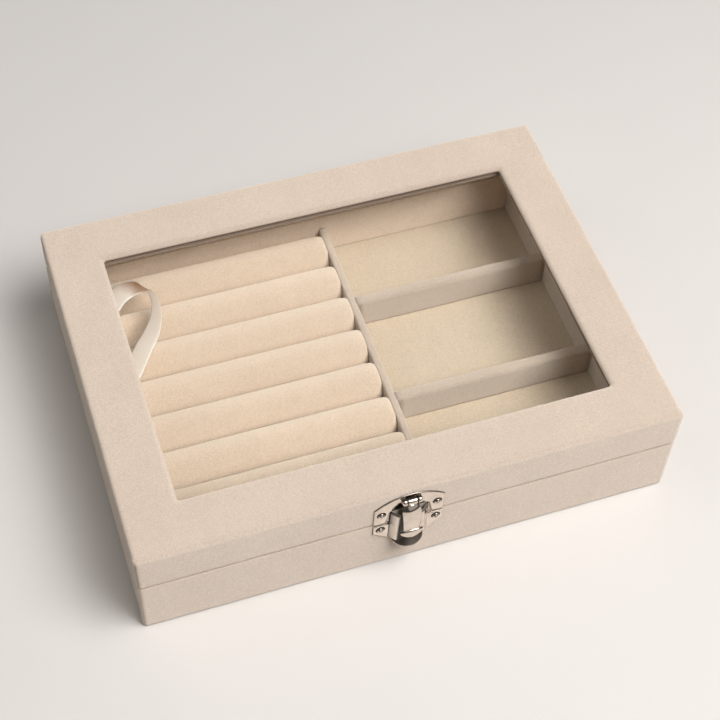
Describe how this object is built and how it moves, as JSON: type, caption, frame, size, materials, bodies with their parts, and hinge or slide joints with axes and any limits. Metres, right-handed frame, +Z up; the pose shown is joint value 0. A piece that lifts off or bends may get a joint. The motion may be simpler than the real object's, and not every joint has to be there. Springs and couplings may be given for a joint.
{
  "type": "ring display box",
  "caption": "Velvet-covered display box: padded ring rolls and divided bays under a hinged lid with a glass window, ribbon stay and snap clasp.",
  "frame": {"origin": "centre of the base's underside, on the surface that it stands on", "axes": "+X right along the front, +Y to the hinged back, +Z up"},
  "size_m": [0.2, 0.1592, 0.046],
  "materials": {
    "cover_velvet": "short-nap beige velvet",
    "lining_velvet": "short-nap cream velvet",
    "board": "grey-brown rigid board",
    "paper": "smooth cream lining paper",
    "glass": "clear float glass",
    "satin": "cream satin ribbon",
    "nickel": "bright nickel plate"
  },
  "bodies": {
    "base": {"underside_paper": "paper", "base_floor_board": "board", "base_wall_front": "board", "base_wall_back": "board", "base_wall_left": "board", "base_wall_right": "board", "base_cover": "cover_velvet", "floor_pad": "lining_velvet", "base_lining_front": "lining_velvet", "base_lining_back": "lining_velvet", "base_lining_left": "lining_velvet", "base_lining_right": "lining_velvet", "long_divider": "lining_velvet", "rear_cross_divider": "lining_velvet", "front_cross_divider": "lining_velvet", "ring_roll_1": "lining_velvet", "ring_roll_2": "lining_velvet", "ring_roll_3": "lining_velvet", "ring_roll_4": "lining_velvet", "ring_roll_5": "lining_velvet", "ring_roll_6": "lining_velvet", "ring_roll_7": "lining_velvet", "ring_roll_8": "lining_velvet", "ribbon_stay": "satin", "hinge_base_leaf_left": "nickel", "hinge_base_leaf_right": "nickel", "hinge_pin_left": "nickel", "hinge_pin_right": "nickel", "hinge_base_nails": "nickel", "catch_plate": "nickel", "catch_plate_nails": "nickel"},
    "lid": {"lid_wall_front": "board", "lid_wall_back": "board", "lid_wall_left": "board", "lid_wall_right": "board", "lid_top_board": "board", "lid_cover": "cover_velvet", "glass_pane": "glass", "glass_frame": "lining_velvet", "lid_lining_front": "lining_velvet", "lid_lining_back": "lining_velvet", "lid_lining_left": "lining_velvet", "lid_lining_right": "lining_velvet", "hinge_lid_leaf_left": "nickel", "hinge_lid_leaf_right": "nickel", "hinge_lid_nails": "nickel", "clasp_plate": "nickel", "clasp_plate_nails": "nickel", "clasp_pin": "nickel"},
    "tongue": {"clasp_tongue": "nickel"}
  },
  "joints": [
    {"name": "lid_hinge", "type": "hinge", "parent": "base", "child": "lid", "pos_m": [0, 0.0765, 0.02795], "axis": [-1, 0, 0], "range_deg": [0, 100], "deforming": ["ribbon_stay"]},
    {"name": "tongue_hinge", "type": "hinge", "parent": "lid", "child": "tongue", "pos_m": [-0.0033, -0.07715, 0.042], "axis": [-1, 0, 0], "range_deg": [0, 150]}
  ]
}
